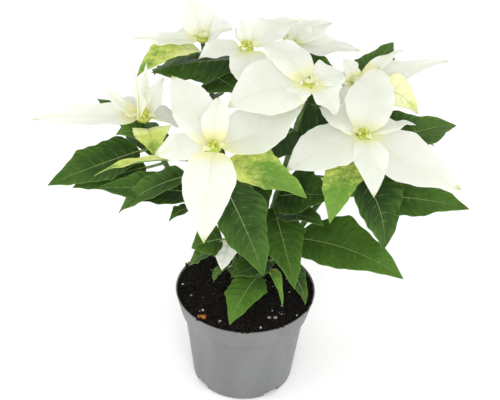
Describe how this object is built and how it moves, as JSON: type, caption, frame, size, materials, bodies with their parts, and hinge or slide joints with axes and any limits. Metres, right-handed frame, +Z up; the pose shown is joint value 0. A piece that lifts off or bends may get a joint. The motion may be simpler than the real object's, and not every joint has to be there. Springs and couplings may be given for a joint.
{
  "type": "potted poinsettia",
  "caption": "White-bracted poinsettia with dark green leaves, branching from one woody trunk, growing in a round grey plastic nursery pot filled with peat.",
  "frame": {"origin": "centre of the pot's base, on the surface that it stands on", "axes": "+Z up along the pot's axis; -Y is the plant's front"},
  "size_m": [0.3602, 0.2567, 0.3024],
  "materials": {
    "pot_plastic": "smooth satin grey",
    "peat": "rough black-brown peat crumbs",
    "bark": "smooth young bark",
    "leaf": "satin leaf green",
    "bract": "soft matt white",
    "cyathia": "waxy yellow-green"
  },
  "bodies": {
    "root": {"pot": "pot_plastic", "soil": "peat", "trunk": "bark", "leafy_stem_front_left": "leaf", "bracts_front_left": "bract", "cyathia_front_left": "cyathia", "leafy_stem_right": "leaf", "bracts_right": "bract", "cyathia_right": "cyathia", "leafy_stem_rear": "leaf", "bracts_rear": "bract", "cyathia_rear": "cyathia", "leafy_stem_left": "leaf", "bracts_left": "bract", "cyathia_left": "cyathia", "leafy_stem_rear_right": "leaf", "bracts_rear_right": "bract", "cyathia_rear_right": "cyathia", "leafy_stem_middle": "leaf", "bracts_middle": "bract", "cyathia_middle": "cyathia", "leafy_stem_rear_left": "leaf", "bracts_rear_left": "bract", "cyathia_rear_left": "cyathia", "leafy_stem_far_rear": "leaf", "bracts_far_rear": "bract", "cyathia_far_rear": "cyathia"}
  },
  "joints": []
}
